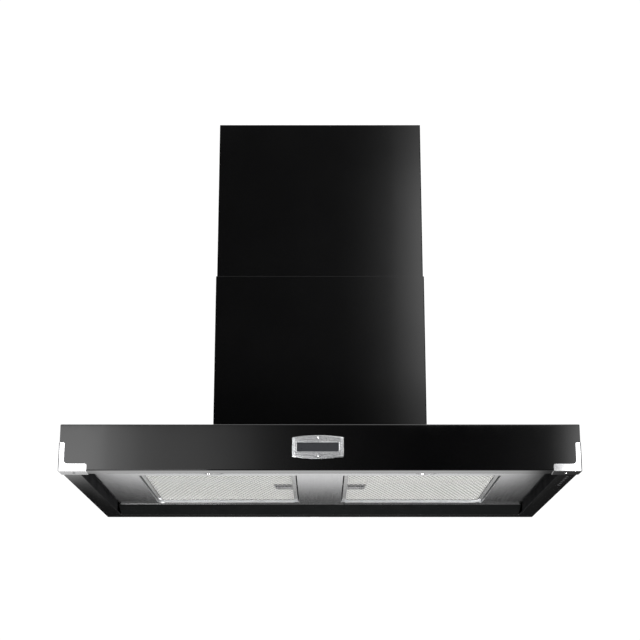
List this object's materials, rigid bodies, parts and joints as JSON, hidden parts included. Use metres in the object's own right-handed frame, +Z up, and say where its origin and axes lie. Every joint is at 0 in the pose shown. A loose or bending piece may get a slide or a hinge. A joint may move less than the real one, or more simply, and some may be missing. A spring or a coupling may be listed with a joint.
{
  "type": "island range hood",
  "caption": "Ceiling-hung cooker hood: flat canopy with tilting grease filters, lamps and push buttons under a telescopic box chimney.",
  "frame": {"origin": "centre of the ceiling plate's top face, which meets the ceiling", "axes": "+Z up into the ceiling; +X to the right seen from the front, along the canopy's width; -Y is the front, with the name plate"},
  "size_m": [1.0024, 0.6527, 0.7803],
  "materials": {
    "gloss_black": "gloss enamel on sheet steel",
    "black_baffle": "satin black enamel",
    "brushed_steel": "brushed stainless sheet",
    "galvanised": "galvanised sheet with a faint spangle",
    "collar_steel": "rolled galvanised sheet",
    "zinc_fastener": "zinc plated",
    "chrome": "polished",
    "badge_metal": "fine brushed plate with a bright edge",
    "badge_dark": "dark enamel inset, no lettering",
    "lamp_chrome": "satin chrome ring",
    "lamp_glass": "frosted glass",
    "lamp_heatsink": "cast fins",
    "black_plastic": "moulded",
    "board": "circuit board laminate",
    "wire": "sheathed wiring",
    "white_plastic": "moulded case",
    "motor_metal": "cast, satin",
    "shaft_steel": "ground shaft",
    "impeller_metal": "galvanised blades",
    "filter_frame": "rolled frame",
    "filter_mesh": "expanded mesh layers",
    "latch_metal": "stamped",
    "spring_steel": "spring wire",
    "button_grey": "moulded button"
  },
  "bodies": {
    "ceiling": {"ceiling_plate": "galvanised", "ceiling_uprights": "galvanised", "frame_fasteners": "zinc_fastener", "upper_chimney_front": "gloss_black", "upper_chimney_rear": "gloss_black"},
    "canopy": {"top_deck": "gloss_black", "front_apron": "gloss_black", "rear_apron": "gloss_black", "left_side_panel": "gloss_black", "right_side_panel": "gloss_black", "liner_panel": "brushed_steel", "lamp_strip": "brushed_steel", "rear_baffle": "black_baffle", "filter_bay": "galvanised", "corner_bracket_left": "chrome", "corner_bracket_right": "chrome", "cover_screws": "chrome", "badge_plate": "badge_metal", "badge_inset": "badge_dark", "badge_rivets": "chrome", "lamp_bezels": "lamp_chrome", "lamp_lenses": "lamp_glass", "lamp_bodies": "lamp_heatsink", "switch_housing": "black_plastic", "switch_board": "board", "terminal_box": "black_plastic", "cable_gland": "black_plastic", "wiring_harness": "wire", "lamp_driver": "white_plastic", "canopy_uprights": "galvanised", "lower_chimney_front": "gloss_black", "lower_chimney_rear": "gloss_black", "blower_side_left": "galvanised", "blower_side_right": "galvanised", "scroll_wall": "galvanised", "blower_feet": "galvanised", "outlet_collar": "collar_steel", "damper_pin": "zinc_fastener", "motor": "motor_metal", "motor_bracket": "galvanised"},
    "impeller": {"impeller": "impeller_metal", "motor_shaft": "shaft_steel"},
    "damper_front": {"damper_flap_front": "collar_steel"},
    "damper_rear": {"damper_flap_rear": "collar_steel"},
    "filter_left": {"filter_left_frame": "filter_frame", "filter_left_mesh": "filter_mesh", "latch_left_housing": "latch_metal", "latch_left_spring": "spring_steel"},
    "latch_left": {"latch_left_slider": "latch_metal"},
    "filter_right": {"filter_right_frame": "filter_frame", "filter_right_mesh": "filter_mesh", "latch_right_housing": "latch_metal", "latch_right_spring": "spring_steel"},
    "latch_right": {"latch_right_slider": "latch_metal"},
    "button_1": {"button_1": "button_grey"},
    "button_2": {"button_2": "button_grey"},
    "button_3": {"button_3": "button_grey"},
    "button_4": {"button_4": "button_grey"},
    "button_5": {"button_5": "button_grey"},
    "button_6": {"button_6": "button_grey"}
  },
  "joints": [
    {"name": "height_slide", "type": "slide", "parent": "ceiling", "child": "canopy", "axis": [0, 0, 1], "range_m": [-0.12, 0.1]},
    {"name": "impeller_spin", "type": "hinge", "parent": "canopy", "child": "impeller", "pos_m": [0, 0.04275, -0.538], "axis": [1, 0, 0], "continuous": true},
    {"name": "damper_front_hinge", "type": "hinge", "parent": "canopy", "child": "damper_front", "pos_m": [0, 0, -0.3778], "axis": [-1, 0, 0], "range_deg": [0, 75]},
    {"name": "damper_rear_hinge", "type": "hinge", "parent": "canopy", "child": "damper_rear", "pos_m": [0, 0, -0.3778], "axis": [1, 0, 0], "range_deg": [0, 75]},
    {"name": "filter_left_hinge", "type": "hinge", "parent": "canopy", "child": "filter_left", "pos_m": [-0.3595, 0, -0.7531], "axis": [0, 1, 0], "range_deg": [0, 80]},
    {"name": "latch_left_slide", "type": "slide", "parent": "filter_left", "child": "latch_left", "axis": [-1, 0, 0], "range_m": [0, 0.008], "stiffness_N_per_m": 400, "springref_m": -0.004, "deforming": ["latch_left_spring"]},
    {"name": "filter_right_hinge", "type": "hinge", "parent": "canopy", "child": "filter_right", "pos_m": [0.3595, 0, -0.7531], "axis": [0, -1, 0], "range_deg": [0, 80]},
    {"name": "latch_right_slide", "type": "slide", "parent": "filter_right", "child": "latch_right", "axis": [1, 0, 0], "range_m": [0, 0.008], "stiffness_N_per_m": 400, "springref_m": -0.004, "deforming": ["latch_right_spring"]},
    {"name": "button_1_press", "type": "slide", "parent": "canopy", "child": "button_1", "axis": [0, 0, 1], "range_m": [0, 0.0015], "stiffness_N_per_m": 500, "springref_m": -0.001},
    {"name": "button_2_press", "type": "slide", "parent": "canopy", "child": "button_2", "axis": [0, 0, 1], "range_m": [0, 0.0015], "stiffness_N_per_m": 500, "springref_m": -0.001},
    {"name": "button_3_press", "type": "slide", "parent": "canopy", "child": "button_3", "axis": [0, 0, 1], "range_m": [0, 0.0015], "stiffness_N_per_m": 500, "springref_m": -0.001},
    {"name": "button_4_press", "type": "slide", "parent": "canopy", "child": "button_4", "axis": [0, 0, 1], "range_m": [0, 0.0015], "stiffness_N_per_m": 500, "springref_m": -0.001},
    {"name": "button_5_press", "type": "slide", "parent": "canopy", "child": "button_5", "axis": [0, 0, 1], "range_m": [0, 0.0015], "stiffness_N_per_m": 500, "springref_m": -0.001},
    {"name": "button_6_press", "type": "slide", "parent": "canopy", "child": "button_6", "axis": [0, 0, 1], "range_m": [0, 0.0015], "stiffness_N_per_m": 500, "springref_m": -0.001}
  ]
}
